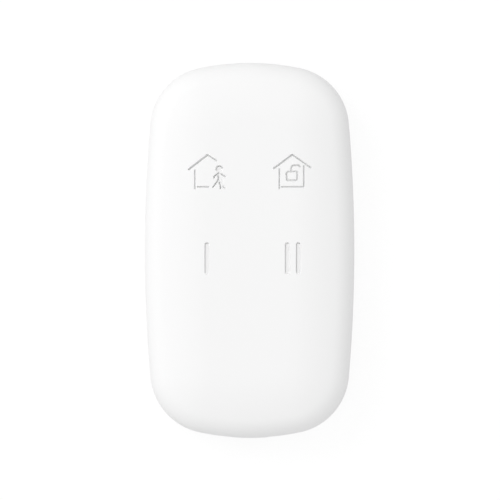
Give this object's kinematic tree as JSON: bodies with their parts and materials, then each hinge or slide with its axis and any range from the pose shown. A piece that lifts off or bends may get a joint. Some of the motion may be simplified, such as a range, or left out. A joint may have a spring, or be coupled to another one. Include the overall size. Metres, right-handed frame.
{
  "type": "wireless alarm remote",
  "caption": "Pebble-shaped pocket keypad for a wireless alarm: soft front with sunk keys over switches, coin cell, loop antenna and a lanyard eye.",
  "frame": {"origin": "on the flat back, below the middle of the outline", "axes": "+X across the face to the right, +Y up the face to its top end, +Z out of the face"},
  "size_m": [0.0352, 0.0631, 0.012],
  "materials": {
    "soft_skin": "soft-touch, fine matt grain",
    "rear_plastic": "fine spark-eroded grain",
    "frame_plastic": "as moulded",
    "screw_steel": "zinc plated",
    "board_laminate": "solder mask, satin",
    "package_black": "moulded resin",
    "nickel_silver": "drawn lid",
    "component_ceramic": "fired ceramic",
    "copper_strip": "stamped strip, tin dipped at its feet",
    "led_resin": "clear resin",
    "clear_plastic": "clear, polished",
    "cell_can": "nickel-plated can",
    "contact_metal": "nickel-plated spring sheet",
    "stem_plastic": "as moulded"
  },
  "bodies": {
    "housing": {"front_skin": "soft_skin", "front_frame": "frame_plastic", "rear_shell": "rear_plastic", "rear_screws": "screw_steel", "circuit_board": "board_laminate", "radio_chip": "package_black", "crystal": "nickel_silver", "board_small_parts": "component_ceramic", "loop_antenna": "copper_strip", "indicator_led": "led_resin", "light_pipe": "clear_plastic", "coin_cell": "cell_can", "battery_clip": "contact_metal", "battery_leaf": "contact_metal", "arm_switch_case": "package_black", "arm_switch_dome": "contact_metal", "disarm_switch_case": "package_black", "disarm_switch_dome": "contact_metal", "one_switch_case": "package_black", "one_switch_dome": "contact_metal", "two_switch_case": "package_black", "two_switch_dome": "contact_metal"},
    "arm_key": {"arm_key_pad": "soft_skin", "arm_key_plunger": "frame_plastic", "arm_switch_stem": "stem_plastic"},
    "disarm_key": {"disarm_key_pad": "soft_skin", "disarm_key_plunger": "frame_plastic", "disarm_switch_stem": "stem_plastic"},
    "one_key": {"one_key_pad": "soft_skin", "one_key_plunger": "frame_plastic", "one_switch_stem": "stem_plastic"},
    "two_key": {"two_key_pad": "soft_skin", "two_key_plunger": "frame_plastic", "two_switch_stem": "stem_plastic"}
  },
  "joints": [
    {"name": "arm_key_press", "type": "slide", "parent": "housing", "child": "arm_key", "axis": [0, 0, -1], "range_m": [0, 0.00035], "stiffness_N_per_m": 600, "deforming": ["arm_switch_dome"]},
    {"name": "disarm_key_press", "type": "slide", "parent": "housing", "child": "disarm_key", "axis": [0, 0, -1], "range_m": [0, 0.00035], "stiffness_N_per_m": 600, "deforming": ["disarm_switch_dome"]},
    {"name": "one_key_press", "type": "slide", "parent": "housing", "child": "one_key", "axis": [0, 0, -1], "range_m": [0, 0.00035], "stiffness_N_per_m": 600, "deforming": ["one_switch_dome"]},
    {"name": "two_key_press", "type": "slide", "parent": "housing", "child": "two_key", "axis": [0, 0, -1], "range_m": [0, 0.00035], "stiffness_N_per_m": 600, "deforming": ["two_switch_dome"]}
  ]
}
